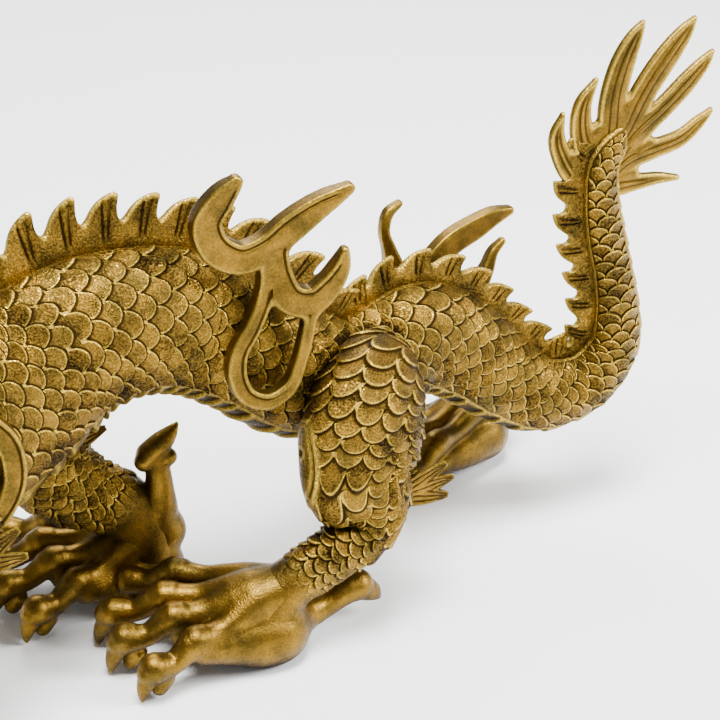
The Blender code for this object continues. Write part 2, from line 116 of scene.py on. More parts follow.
def facing(points, quads):  # outward direction at every point
    corner = points[quads]
    normal = np.cross(corner[:, 2] - corner[:, 0], corner[:, 3] - corner[:, 1])
    out = np.stack([np.bincount(quads.ravel(), np.repeat(normal[:, k], 4), len(points)) for k in range(3)], 1)
    return out / np.maximum(np.linalg.norm(out, axis=1, keepdims=True), 1e-9)


def hollowness(points, quads, rounds):  # how far each point lies below the surface smoothed that many times, in mm
    ends = np.concatenate([quads[:, [0, 1]], quads[:, [1, 2]], quads[:, [2, 3]], quads[:, [3, 0]]])
    share = np.bincount(ends.ravel(), minlength=len(points))[:, None]
    flat = points.copy()
    for _ in range(rounds):
        total = np.stack([np.bincount(ends[:, 0], flat[ends[:, 1], k], len(points))
                          + np.bincount(ends[:, 1], flat[ends[:, 0], k], len(points)) for k in range(3)], 1)
        flat = 0.5 * flat + 0.5 * total / np.maximum(share, 1)
    return ((flat - points) * facing(points, quads)).sum(1)


pieces = []
# What is drawn on the surface besides its shape: the patina together with painted shade, the rubbed edges with their
# painted highlight, where the skin is brushed smooth, and the mm to the nearest plate's edge (rim) and to the nearest
# groove (cut), with how near or deep those are
markRange = {"rim": (-1.0, 3.0), "cut": (-1.0, 3.0), "patina": (-1.0, 1.0)}


def addPiece(name, points, quads, caps, marks, material):
    points = np.clip(points, np.array(cadBox[0]) / mm - home, np.array(cadBox[1]) / mm - home)
    corner = points[quads]
    around = np.cross(corner[:, 1], corner[:, 2]) + np.cross(corner[:, 2], corner[:, 3])
    if (corner[:, 0] * around).sum() < 0:  # turned inside out, so every face is run round the other way
        quads = quads[:, ::-1]
        caps = [cap[::-1] for cap in caps]
    corners = np.concatenate([quads.ravel(), *caps]).astype(np.int32)
    sizes = np.array([4] * len(quads) + [len(cap) for cap in caps])
    mesh = bpy.data.meshes.new(name)
    mesh.vertices.add(len(points))
    mesh.vertices.foreach_set("co", ((points + home) * mm).astype(np.float32).ravel())
    mesh.loops.add(len(corners))
    mesh.loops.foreach_set("vertex_index", corners)
    mesh.polygons.add(len(sizes))
    mesh.polygons.foreach_set("loop_start", np.concatenate([[0], np.cumsum(sizes)[:-1]]).astype(np.int32))
    mesh.polygons.foreach_set("use_smooth", sizes == 4)
    mesh.update(calc_edges=True)
    marks = {mark: np.ravel(value) for mark, value in marks.items()}
    missed = fade(-facing(points, quads)[:, 2], *finish["underRange"])  # painted shade: surfaces facing downward are darkened
    marks["patina"] = marks["patina"] + finish["under"] * missed
    for mark, value in marks.items():
        value = np.clip(value, *markRange.get(mark, (0.0, 1.0))).astype(np.float32)
        mesh.attributes.new(mark, "FLOAT", "POINT").data.foreach_set("value", value)
    mesh.materials.append(material)
    piece = bpy.data.objects.new(name, mesh)
    bpy.context.scene.collection.objects.link(piece)
    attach(piece, "root")
    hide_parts("dragon")
    pieces.append(piece)
    print(name, (sizes - 2).sum(), "triangles")


def addRings(name, ring, marks):  # a grid of closed rings with a flat cap at either end
    rows, columns = ring.shape[:2]
    caps = [np.arange(columns)[::-1], (rows - 1) * columns + np.arange(columns)]
    addPiece(name, ring.reshape(-1, 3), gridQuads(rows, columns), caps, marks, scaledBrass)


def offPath(path, side, aside, up, above):  # places so far aside and above the path
    return path[:, None, :3] + aside[..., None] * side[:, None] + above[..., None] * up[:, None]


# Cast brass: a sand-cast skin, pickled brown, then brushed so that only what stands proud is bright again.
# That gives the eye a grainy half-matt gold, umber hollows and thin bright rims; the rims also carry a painted
# highlight, and painted shade darkens the gaps under plates, the undersides, the belly and the joins of the limbs.
finish = {
    "gold": "8C6A22", "straw": "E2BE48", "olive": "63501F", "umber": "190F06",
    "grain": 0.70, "blotch": 11.0, "bumpDepth": 0.13,  # mm; the real grain is 0.25 mm, drawn as coarse as it must show
    "blotchRange": (0.32, 0.70), "grainRange": (0.36, 0.64), "lipWorn": (0.66, 0.42), "lipShare": (0.35, 1.0),
    "stain": 0.36, "speck": 0.52, "calm": 0.45,  # brown by blotch, bright by grain, and the share left where brushed
    "gapShadowRange": (0.20, -0.04), "gapShadowEnd": (-1.0, -0.50), "gapShadowAndPatina": 0.97,  # mm from a plate's edge; painted shadow with some patina under it
    "lipStart": (0.10, 0.24), "lipEnd": (0.72, 0.36), "lip": 0.80,  # mm from a plate's edge; rubbed bright with a painted highlight on it
    "cutRange": (0.50, 0.20), "cutBrown": 0.95, "cut": 0.40,  # mm from a groove's middle, and its depth in mm
    "stepRange": (-0.20, 0.25), "step": 0.40,  # mm from a plate's edge, and its height in mm
    # painted shade on undersides: its strength, and the span of downward facing it fades in over
    "under": 0.50, "underRange": (0.05, 0.95), "rubbed": (0.45, 0.55),
    "brownRoughness": 0.66, "brightRoughness": -0.10,
}


def linearColor(code):
    parts = [int(code[k:k + 2], 16) / 255 for k in (0, 2, 4)]
    return (*[c / 12.92 if c <= 0.04045 else ((c + 0.055) / 1.055) ** 2.4 for c in parts], 1.0)


def addNode(tree, kind, inputs, out=0, **settings):  # its inputs by name or in their order; gives one output
    node = tree.nodes.new("ShaderNode" + kind)
    for key, value in settings.items():
        setattr(node, key, value)
    for socket, value in inputs.items() if isinstance(inputs, dict) else enumerate(inputs):
        if isinstance(value, bpy.types.NodeSocket):
            tree.links.new(value, node.inputs[socket])
        else:
            node.inputs[socket].default_value = value
    return node.outputs[out]


def castBrass(name, age, roughness, grainShare, mottle):
    material = bpy.data.materials.new(name)
    material.use_nodes = True
    tree = material.node_tree
    shader = tree.nodes["Principled BSDF"]

    def mark(key):
        return addNode(tree, "Attribute", (), "Fac", attribute_name=key)

    def ramp(value, ends, levels=(0.0, 1.0)):
        return addNode(tree, "MapRange", (value, *ends, *levels), interpolation_type="SMOOTHSTEP")

    def maths(operation, *values, **settings):
        return addNode(tree, "Math", values, operation=operation, **settings)

    noise = {"Vector": addNode(tree, "TexCoord", (), "Object"), "Detail": 4.0, "Roughness": 0.6}
    blotch = addNode(tree, "TexNoise", {**noise, "Scale": 1 / (finish["blotch"] * mm)}, "Fac")
    grain = addNode(tree, "TexNoise", {**noise, "Scale": 1 / (finish["grain"] * mm), "Detail": 2.0}, "Fac")
    stain, speck = ramp(blotch, finish["blotchRange"]), ramp(grain, finish["grainRange"])
    calm = ramp(mark("smooth"), (0.0, 1.0), (mottle, finish["calm"]))
    pits = maths("MULTIPLY", speck, calm)
    # the painted shadow line, with some patina, under a plate's free edge, the rubbed line with its painted highlight
    # on it, and the grooves
    rim, near = mark("rim"), mark("near")
    gap = maths("MULTIPLY", ramp(rim, finish["gapShadowRange"]), ramp(rim, finish["gapShadowEnd"]))
    gap = maths("MULTIPLY", gap, near)
    lip = maths("MULTIPLY", ramp(rim, finish["lipStart"]), ramp(rim, finish["lipEnd"]))
    lip = maths("MULTIPLY", maths("MULTIPLY", lip, near), ramp(blotch, finish["lipWorn"], finish["lipShare"]))
    groove = maths("MULTIPLY", ramp(maths("ABSOLUTE", mark("cut")), finish["cutRange"]), mark("cutDepth"))
    # brown by age, blotches, patina and painted shade, less on the grain's tops, and nearly all the way in gaps, with
    # their painted shadow, and in grooves
    worn = maths("MULTIPLY_ADD", maths("MULTIPLY", stain, calm), finish["stain"], age)
    worn = maths("MULTIPLY_ADD", pits, -finish["speck"], worn)
    brown = maths("ADD", mark("patina"), worn, use_clamp=True)
    low = maths("MAXIMUM", maths("MULTIPLY", gap, finish["gapShadowAndPatina"]), maths("MULTIPLY", groove, finish["cutBrown"]))
    brown = maths("MAXIMUM", brown, low)
    # rubbed wear and painted highlight: straw colour on plate rims, beads and edges
    bright = maths("ADD", mark("edge"), maths("MULTIPLY", lip, finish["lip"]), use_clamp=True)
    bright = maths("MULTIPLY", bright, maths("MULTIPLY_ADD", speck, *finish["rubbed"]), use_clamp=True)
    gold, olive, umber, straw = (linearColor(finish[key]) for key in ("gold", "olive", "umber", "straw"))
    aged = addNode(tree, "MixRGB", (brown, addNode(tree, "MixRGB", (stain, gold, olive)), umber))
    tree.links.new(addNode(tree, "MixRGB", (bright, aged, straw)), shader.inputs["Base Color"])
    rough = ramp(brown, (0.0, 1.0), (roughness, finish["brownRoughness"]))
    tree.links.new(maths("MULTIPLY_ADD", bright, finish["brightRoughness"], rough), shader.inputs["Roughness"])
    shader.inputs["Metallic"].default_value = 1.0
    # the plate's edge, the grooves and the grain, one bump on the other
    step = maths("MULTIPLY", ramp(rim, finish["stepRange"]), near)
    relief = addNode(tree, "Bump", {"Distance": finish["step"] * mm, "Height": step})
    relief = addNode(tree, "Bump", {"Distance": -finish["cut"] * mm, "Height": groove, "Normal": relief})
    grainDepth = finish["bumpDepth"] * grainShare * mm
    relief = addNode(tree, "Bump", {"Distance": grainDepth, "Height": pits, "Normal": relief})
    tree.links.new(relief, shader.inputs["Normal"])
    return material


# The scaled skin keeps its grain; feet, flames, fins, hair and head are brushed smoother
scaledBrass = castBrass("sandCastBrass", age=0.38, roughness=0.27, grainShare=1.0, mottle=1.0)
satinBrass = castBrass("brushedCastBrass", age=0.33, roughness=0.31, grainShare=0.8, mottle=finish["calm"])
print("finishes made")

# Scales lie in rows, each row set half a scale aside and running out under the row nearer the head.
# A free edge is half a circle; its plate rises from root to edge and ends in a thin bead.
scaleLook = {"lift": 2.0, "crown": 0.36, "bead": 0.10, "beadWidth": 0.45, "cut": 0.45, "unevenness": 0.60}


def scaleRelief(phase, across, counts, radius, seed):
    look = scaleLook
    row = np.floor(phase).astype(int)

    def plate(k):  # height, mm inside the free edge, and the chance tone with painted shade toward the root, of the plate of row k at each place
        x = across * counts[np.clip(k, 0, len(counts) - 1)] - 0.5 * (k % 2)
        i = np.round(x)
        chance = np.abs(np.sin(k * 12.9898 + i * 78.233 + seed) * 43758.5453) % 1.0
        p, q = 2 * (x - i), phase - k
        inside = (1 - np.hypot(p, np.maximum(q - 1, 0) / (0.90 + 0.14 * chance))) * radius
        height = look["lift"] * q / 2 * (1 - look["crown"] * p * p) + look["unevenness"] * (chance - 0.5) * (q + p)
        height = height + look["bead"] * bell(inside - look["beadWidth"], look["beadWidth"]) * (q > 1)
        # painted shade: each plate darkens toward its root, under the plate above
        return height, inside, chance + 0.7 * (1 - q / 2)

    height, own, tone = plate(row)
    own, over = own + 60.0, np.full_like(own, 60.0)
    for k in (row - 1, row - 2):  # each plate nearer the head lies on top
        top, inside, chance = plate(k)
        cover = fade(inside, -look["cut"], look["cut"])
        height = height + (top - height) * cover
        tone = np.where(inside > 0, chance, tone)
        own, over = np.where(inside > 0, inside, own), np.where(inside > 0, 60.0, np.minimum(over, -inside))
    rim = np.where(over < own, -over, own)  # mm from the nearest free edge, negative where that edge lies above
    marks = {"rim": rim, "near": bell(rim, 1.5), "patina": 0.55 * (tone - 0.62)}
    return height, marks


def distanceTo(x, y, z, path, side=None):  # to a chain of round or oval tapering links, negative inside
    best = np.full(np.broadcast(x, y, z).shape, 99.0)
    for a, b in zip(path[:-1], path[1:]):
        d = b[:3] - a[:3]
        px, py, pz = x - a[0], y - a[1], z - a[2]
        t = np.clip((px * d[0] + py * d[1] + pz * d[2]) / max(d @ d, 1e-9), 0.0, 1.0)
        wide = a[3] + (b[3] - a[3]) * t
        ex, ey, ez = px - t * d[0], py - t * d[1], pz - t * d[2]
        far = ex * ex + ey * ey + ez * ez
        if side is None:
            gap = np.sqrt(far) - wide
        else:
            high = a[4] + (b[4] - a[4]) * t
            s = (ex * side[0] + ey * side[1] + ez * side[2]) ** 2
            gap = (np.sqrt(s / wide ** 2 + (far - s) / high ** 2) - 1) * np.minimum(wide, high)
        best = np.minimum(best, gap)
    return best


# Each leg from the hip or shoulder to the ankle: x, y, z, half width, half height
legPaths = {
    "nearHindLeg": [
        (2, -8, 92, 12, 12), (-3, -19, 90, 16, 18), (-10, -28, 82, 16, 22), (-15, -33, 72, 13, 22),
        (-17, -37, 62, 11, 19), (-13, -38, 53, 10, 15), (-14, -39, 45, 9.5, 10.5), (-24, -39, 38, 9, 9.5),
        (-37, -39, 32, 8.5, 8.5), (-47, -38, 25, 10, 10), (-52, -37, 17, 12, 12)],
    "farHindLeg": [
        (8, 20, 84, 14, 16), (22, 34, 78, 16, 18), (36, 42, 68, 13, 15), (52, 47, 58, 10, 11),
        (68, 50, 49, 8.5, 9), (86, 53, 40, 8, 8), (88, 55, 30, 7.5, 7.5), (84, 56, 20, 8.5, 8.5)],
    "farFrontLeg": [
        (-140, 0, 104, 14, 18), (-131, 10, 90, 14, 18), (-120, 17, 72, 13, 18), (-110, 19, 57, 12, 15.5),
        (-100, 19, 47, 11, 13.5), (-88, 18, 40, 11, 12), (-80, 17, 29, 11, 12), (-79, 17, 18, 12, 12)],
    "nearFrontLeg": [
        (-158, -26, 110, 14, 18), (-160, -38, 98, 13, 17), (-157, -47, 82, 12, 14), (-160, -53, 66, 11, 11.5),
        (-172, -57, 51, 9.5, 10), (-186, -59, 38, 9, 9.5), (-196, -60, 27, 10, 10), (-200, -60, 17, 12, 12)],
}

# How the trunk is laid out round its section, in mm and degrees from the back
trunk = {
    "crestFoot": 4.0, "bellyEdge": 134.0,
    "footColumns": 4, "nearColumns": 78, "farColumns": 48, "bellyColumns": 10, "rowsPerScale": 7,
    "scalePitch": [(0.0, 4.2), (0.15, 4.75), (0.46, 4.75), (0.54, 4.2), (0.70, 4.1), (0.86, 3.8), (1.0, 3.4)],
    "scaleWidth": [(0.0, 8.0), (0.2, 9.0), (0.66, 8.8), (0.80, 8.6), (0.88, 8.0), (1.0, 7.2)],
    "inset": 0.55, "bellyPlates": 58, "bellyStep": 0.07,
    "bead": 0.8, "footBead": 0.55, "crease": 0.8, "creaseShadeWidth": 2.2, "farSeed": 5.7,
    "stretches": (0.0, 0.36, 0.66, 1.0),
}


def readAt(table, at):  # a table's columns at places between its rows
    return np.stack([np.interp(at, np.arange(len(table)), column) for column in table.T], 1)


def scaleRows(table, count, pitches, perRow):  # a path with the same number of rings in each row of scales
    fine, share = smoothPath(table, count), np.linspace(0, 1, count)
    pitch = np.interp(share, *zip(*pitches))
    phase = np.concatenate([[0.0], np.cumsum(np.diff(lengthAlong(fine[:, :3])) / pitch[1:])])
    at = np.interp(np.arange(int(phase[-1] * perRow) + 1) / perRow, phase, np.arange(count))
    share = at / (count - 1)
    return readAt(fine, at), share, np.interp(share, *zip(*pitches))


# A point of the trunk is a point of the spine plus the half width or height and the relief there, turned round the
# section: scales down both flanks, stepped plates along the belly and a bead between them
def buildTrunk(t):
    perRow = t["rowsPerScale"]
    path, share, pitch = scaleRows(spine, 1600, t["scalePitch"], perRow)
    phase = np.arange(len(path)) / perRow
    _, side, up = framesAlong(path[:, :3])
    radius = path[:, 3:5].mean(1)[:, None]
    bellyAngle = math.radians(t["bellyEdge"])
    footAngle = t["crestFoot"] / radius

    def halfRing(columns):
        return np.concatenate([
            footAngle * np.linspace(0, 1, t["footColumns"], endpoint=False),
            footAngle + (bellyAngle - footAngle) * np.linspace(0, 1, columns),
            bellyAngle + (math.pi - bellyAngle) * np.linspace(0, 1, t["bellyColumns"])[1:] + 0 * radius], axis=1)

    # down the near side and up the far one
    angle = np.concatenate([halfRing(t["nearColumns"]), -halfRing(t["farColumns"])[:, -2:0:-1]], axis=1)
    turn = np.abs(angle)
    across = (turn - footAngle) / (bellyAngle - footAngle)
    girth = ((bellyAngle - footAngle) * radius)[:, 0]
    width = np.interp(share[::perRow], *zip(*t["scaleWidth"]))
    counts = np.maximum(np.round(girth[::perRow] / width), 2)
    height, marks = scaleRelief(phase[:, None] + 0 * angle, across, counts, pitch[:, None], (angle > 0) * t["farSeed"])
    edgeIn, edgeOut = turn * radius - t["crestFoot"], (bellyAngle - turn) * radius
    scaled = fade(edgeIn, 0.0, 1.2) * fade(edgeOut, 0.3, 1.5)
    plate = (share[:, None] * t["bellyPlates"]) % 1.0
    belly = fade(-edgeOut, 0.5, 1.5)
    lift = scaled * height * (pitch[:, None] / pitch.max()) ** 2
    lift = lift + belly * ((0.5 - plate) * t["bellyStep"] * path[:, 4:5] + t["inset"])
    lift = lift + t["bead"] * bell(edgeOut + 0.4, 0.9) + t["footBead"] * bell(edgeIn + 0.6, 0.75) - t["inset"]
    # painted shade: the belly is darkened all over and most at the foot of each plate step
    patina = scaled * marks["patina"] + belly * (0.25 + 0.7 * bell((plate - 1.0) * 10, 1.0))
    marks["near"] = marks["near"] * scaled
    # rubbed wear with a painted highlight on the beads and on each belly plate's step edge
    marks["edge"] = 0.6 * bell(edgeOut + 0.4, 0.8) + 0.5 * bell(edgeIn + 0.6, 0.6)
    marks["edge"] = marks["edge"] + belly * 0.7 * bell(plate * 10 - 0.8, 0.8)
    marks["cut"] = np.minimum(edgeIn - 0.5, np.abs(edgeOut + 0.4) - 1.4)
    marks["cutDepth"] = np.full_like(patina, 0.8)
    aside, above = -np.sin(angle) * (path[:, 3:4] + lift), np.cos(angle) * (path[:, 4:5] + lift)
    ring = offPath(path, side, aside, up, above)
    x, y, z = ring[..., 0], ring[..., 1], ring[..., 2]
    for leg in legPaths.values():  # painted shade: the trunk darkened round each limb where it leaves the trunk
        away = np.maximum(distanceTo(x, y, z, smoothPath(leg, 12)[:8], acrossBody), 0)
        patina = patina + t["crease"] * np.exp(-away / t["creaseShadeWidth"])
    marks["patina"] = patina
    ends = [int(s * (len(path) - 1)) for s in t["stretches"]]
    for number, (first, last) in enumerate(zip(ends[:-1], ends[1:])):
        rows = slice(first, last + 1)
        addRings(f"trunk{number + 1}", ring[rows], {key: value[rows] for key, value in marks.items()})


buildTrunk(trunk)

# The crest: its tooth pitch and height by the share of the spine, and one tooth's outline from valley to valley,
# along the back and up, as shares of the pitch and of the height above the band
crest = {
    "pitch": [(0.0, 11.0), (0.15, 11.0), (0.30, 12.1), (0.46, 12.1), (0.50, 14.0), (0.57, 14.0), (0.61, 12.1),
              (0.69, 12.1), (0.73, 17.0), (0.80, 17.0), (0.84, 12.4), (1.0, 11.6)],
    "height": [(0.0, 9.0), (0.10, 12.0), (0.24, 15.0), (0.32, 18.5), (0.37, 16.0), (0.46, 14.0), (0.54, 9.0),
               (0.60, 11.5), (0.66, 9.0), (0.74, 8.5), (0.82, 10.5), (0.95, 11.0), (1.0, 8.0)],
    "outline": [(0.0, 0.0), (0.09, 0.12), (0.22, 0.38), (0.40, 0.66), (0.62, 0.87), (0.82, 0.99), (0.92, 1.0),
                (0.93, 0.90), (0.87, 0.70), (0.83, 0.46), (0.84, 0.22), (0.91, 0.05), (1.0, 0.0)],
    "start": 0.30, "band": 0.47, "foot": 2.2, "top": 0.7, "columns": 28, "rows": 13,
    "grooves": (0.40, 0.52), "groove": 0.6, "grooveWidth": 0.5, "wave": 0.7,
}


# A point of the crest is a point of the back, raised by its share of the tooth's height, leant along the back with
# the tooth's outline and set aside by the thickness there
def buildCrest(c):
    fine = smoothPath(spine, 1200)
    share = np.linspace(0, 1, len(fine))
    back = fine[:, :3] + framesAlong(fine[:, :3])[2] * fine[:, 4, None]
    pitch = np.interp(share, *zip(*c["pitch"]))
    phase = np.concatenate([[0.0], np.cumsum(np.diff(lengthAlong(back)) / pitch[1:])]) - c["start"]
    number = np.arange(int(phase[-1]) * c["columns"])
    at = np.interp(number / c["columns"], phase, np.arange(len(fine)))
    place = readAt(fine, at)
    along, side, up = framesAlong(place[:, :3])
    step = (number / c["columns"] % 1.0)[:, None]
    tooth = smoothPath([(x * 12, 0, y * 9) for x, y in c["outline"]], c["columns"] + 1)[number % c["columns"]]
    tall = np.interp(np.interp(at, np.arange(len(fine)), share), *zip(*c["height"]))[:, None]
    top = tall * (c["band"] + (1 - c["band"]) * tooth[:, 2:] / 9)
    pull = np.interp(at, np.arange(len(fine)), pitch)[:, None]
    v = np.linspace(0, 1, c["rows"])[None]  # from inside the back up to the edge
    deep = -0.22 * place[:, 4:5]
    rising = deep + (top - deep) * v
    high = np.clip(rising / tall, 0, 1)
    lean = (tooth[:, :1] / 12 - step) * pull * np.clip(rising / top, 0, 1) ** 1.5
    toEdge = top - rising
    # two cuts run up into each tooth
    line = np.min([np.abs(step - g) for g in c["grooves"]], axis=0) * pull * (1 + high ** 2)
    depth = fade(high, 0.10, 0.20) * fade(toEdge, 0.5, 1.6)
    groove = bell(line, c["grooveWidth"]) * depth
    thick = c["top"] + (c["foot"] - c["top"]) * (1 - fade(high, 0.1, 1.0))
    thick = thick + 0.15 * bell(toEdge - 0.9, 0.6) - c["groove"] * groove * np.minimum(1, thick)
    thick = np.maximum(thick * np.sqrt(fade(toEdge, -0.9, 0.8)), 0.15)
    wave = c["wave"] * np.sin(step * math.tau) * high
    middle = place[:, None, :3] + up[:, None] * (place[:, 4:5] + rising)[..., None] + along[:, None] * lean[..., None]
    middle = middle + side[:, None] * wave[..., None]
    near, far = middle - side[:, None] * thick[..., None], middle + side[:, None] * thick[..., None]
    ring = np.concatenate([near, far[:, ::-1]], axis=1)
    both = lambda value: np.concatenate([value, value[:, ::-1]], axis=1)
    # rubbed wear with a painted highlight along each tooth's edge
    marks = {"patina": both(0.3 * groove + 0.14 * bell(rising - 0.2, 1.3) + 0.10),
             "edge": both(0.6 * bell(toEdge - 0.1, 0.5)), "cut": both(line), "cutDepth": both(depth)}
    addRings("crest", ring, marks)


buildCrest(crest)

# The scales of a leg hang towards its foot, stand closer behind the thigh and die out above the ankle
legs = {
    "nearHindLeg": {
        "pitch": [(0, 4.6), (0.45, 4.3), (0.7, 3.3), (1, 2.7)], "ankle": 0.80, "columns": 132, "perRow": 7,
        "stack": 0.22, "dimple": (-35.5, -33.5, 75.5, 1.8),
        "knee": [(-35, -32, 82, 5.0), (-37, -34, 74, 7.6), (-34, -35, 64, 6.6), (-28, -35, 54, 3.0)]},
    "farHindLeg": {
        "pitch": [(0, 4.4), (0.4, 3.8), (1, 2.8)], "ankle": 0.72, "columns": 88, "perRow": 5, "stack": 0.2},
    "farFrontLeg": {
        "pitch": [(0, 4.4), (0.6, 3.8), (1, 3.2)], "ankle": 0.74, "columns": 100, "perRow": 6, "stack": 0.15},
    "nearFrontLeg": {
        "pitch": [(0, 4.4), (0.4, 3.8), (1, 2.8)], "ankle": 0.76, "columns": 96, "perRow": 6, "stack": 0.2},
}
legScales = {
    "slender": 1.80, "narrowing": 0.035, "inset": 0.55, "fadeOut": 0.08, "crease": 0.8, "creaseShadeWidth": 2.0, "seed": 3.1,
}


# A point of a leg is a point of its path plus the half width or height and the scales' lift there, turned round it
def buildLeg(name, s):
    perRow = s["perRow"]
    path, share, pitch = scaleRows(legPaths[name], 600, s["pitch"], perRow)
    turn = (np.arange(s["columns"]) * math.tau / s["columns"])[None]
    _, side, up = framesAlong(path[:, :3])
    rear = fade(np.sin(turn), 0.1, 0.9) * s["stack"]  # crowds the rows at the back of the thigh
    crowd = np.cumsum(1 - fade(share, 0.35, 0.6))[:, None] / perRow
    phase = np.arange(len(path))[:, None] / perRow + rear * crowd
    girth = math.pi * (path[:, 3] + path[:, 4])
    full = np.round(girth[::perRow] / (pitch[::perRow] * legScales["slender"]))
    rowShare = np.interp(np.arange(int(phase.max()) + 2), phase[:, 0], np.arange(len(path)))
    counts = np.interp(rowShare, np.arange(len(full)) * perRow, full).round()
    # narrower scales behind, wider ones in front
    narrow = turn / math.tau - legScales["narrowing"] * np.cos(turn) + legScales["narrowing"]
    height, marks = scaleRelief(phase, narrow + 0 * phase, counts, pitch[:, None], legScales["seed"])
    scaled = (1 - fade(share, s["ankle"], s["ankle"] + legScales["fadeOut"]))[:, None]
    flush = offPath(path, side, np.cos(turn) * path[:, 3:4], up, np.sin(turn) * path[:, 4:5])
    marks["edge"], knee, dimple, kneePlate = 0 * height, 0 * height, 0 * height, 0.0
    if "knee" in s:  # a smooth plate over the knee, with a double rim and a small dimple
        gap = distanceTo(flush[..., 0], flush[..., 1], flush[..., 2], smoothPath(s["knee"], 14))
        eye = np.linalg.norm(flush - np.array(s["dimple"][:3]), axis=2) - s["dimple"][3]
        knee = 1 - fade(gap, -0.2, 0.6)
        dimple = 1 - fade(eye, -1.2, 0.4)
        # rubbed wear with a painted highlight on the knee plate's two rims and round the dimple
        marks["edge"] = 0.8 * bell(gap + 0.2, 0.45) + 0.6 * bell(gap + 2.2, 0.45) + 0.5 * bell(eye - 0.6, 0.5)
        marks["cut"], marks["cutDepth"] = np.abs(gap + 1.2), 0.9 * knee
        kneePlate = 0.9 + 0.3 * bell(gap + 0.3, 0.5) - 1.2 * dimple
    lift = (height - legScales["inset"]) * scaled * (1 - knee) + knee * kneePlate
    marks["patina"] = marks["patina"] * (1 - knee) + 0.5 * dimple
    marks["near"] = marks["near"] * (1 - knee)
    ring = offPath(path, side, np.cos(turn) * (path[:, 3:4] + lift), up, np.sin(turn) * (path[:, 4:5] + lift))
    ring[..., 2] = np.maximum(ring[..., 2], ground)
    body = distanceTo(ring[..., 0], ring[..., 1], ring[..., 2], smoothPath(spine, 60), acrossBody)
    # painted shade: the leg darkens where it meets the trunk
    crease = legScales["crease"] * np.exp(-np.maximum(body, 0) / legScales["creaseShadeWidth"])
    marks["patina"] = marks["patina"] * scaled + crease + 0.06
    marks["near"] = marks["near"] * scaled
    marks["smooth"] = 1 - scaled + 0 * height
    addRings(name, ring, marks)


for name, look in legs.items():
    buildLeg(name, look)


# Blended forms: distances to many links are melted together on a block of points, and a skin is drawn
# through the points where the distance is nought, one face across every link between inside and outside.
def openBlock(low, high, step):
    axes = [np.arange(a, b + step, step) for a, b in zip(low, high)]
    return {"axes": axes, "step": step, "value": np.full([len(a) for a in axes], 60.0)}


def blockRound(places, below, above, step):
    places = np.array(places, float)[:, :3]
    return openBlock(places.min(0) - below, places.max(0) + above, step)


def blockPoints(block, window=(slice(None),) * 3):
    x, y, z = (axis[cut] for axis, cut in zip(block["axes"], window))
    return x[:, None, None], y[None, :, None], z[None, None, :]


def addTube(block, path, soft, side=None):
    path = np.array(path, float)
    reach = path[:, 3:].max() + soft + 3
    low, high = path[:, :3].min(0) - reach, path[:, :3].max(0) + reach
    window = tuple(slice(*np.searchsorted(axis, (a, b))) for axis, a, b in zip(block["axes"], low, high))
    gap = distanceTo(*blockPoints(block, window), path, side)
    block["value"][window] = melt(block["value"][window], gap, soft)


def skinOf(block):
    value, step = block["value"], block["step"]
    cells = tuple(n - 1 for n in value.shape)
    total, count = np.zeros(cells + (3,)), np.zeros(cells)
    crossings = []
    for axis in range(3):
        m, n = (k for k in range(3) if k != axis)
        lines, sums, number = (np.moveaxis(array, axis, 0) for array in (value, total, count))
        a, b = lines[:-1], lines[1:]
        cross = (a < 0) != (b < 0)
        share = np.where(cross, a / np.where(a == b, 1, a - b), 0.0)
        crossings.append((np.moveaxis(cross, 0, axis), np.moveaxis(a < 0, 0, axis)))
        for i, j in ((0, 0), (0, 1), (1, 0), (1, 1)):
            cut = (slice(None), slice(i, lines.shape[1] - 1 + i), slice(j, lines.shape[2] - 1 + j))
            sums[..., axis] += share[cut]
            sums[..., m] += cross[cut] * i
            sums[..., n] += cross[cut] * j
            number += cross[cut]
    used = count > 0
    index = np.full(cells, -1)
    index[used] = np.arange(used.sum())
    corner = np.stack(np.nonzero(used), 1)
    points = (corner + total[used] / count[used][:, None]) * step + np.array([axis[0] for axis in block["axes"]])
    quads = []
    for axis, (cross, startInside) in enumerate(crossings):
        m, n = (axis + 1) % 3, (axis + 2) % 3
        cut = [slice(None)] * 3
        cut[m] = cut[n] = slice(1, -1)
        where = np.stack(np.nonzero(cross[tuple(cut)]), 1)
        where[:, m] += 1
        where[:, n] += 1
        back = lambda dm, dn: index[tuple((where - np.eye(3, dtype=int)[m] * dm - np.eye(3, dtype=int)[n] * dn).T)]
        ring = np.stack([back(1, 1), back(0, 1), back(0, 0), back(1, 0)], 1)
        outward = startInside[tuple(where.T)]
        quads.append(np.where(outward[:, None], ring, ring[:, ::-1]))
    return points, np.concatenate(quads)


def addSkin(name, block, marksAt=lambda points: {}):
    points, quads = skinOf(block)
    hollow = hollowness(points, quads, rounds=6)
    marks = marksAt(points)
    marks["patina"] = marks.get("patina", 0.0) + fade(hollow, 0.05, 0.55) * 0.9
    # rubbed wear with a painted highlight on convex edges
    marks["edge"] = marks.get("edge", 0.0) + fade(-hollow, 0.06, 0.45) * 0.6
    addPiece(name, points, quads, [], marks, satinBrass)


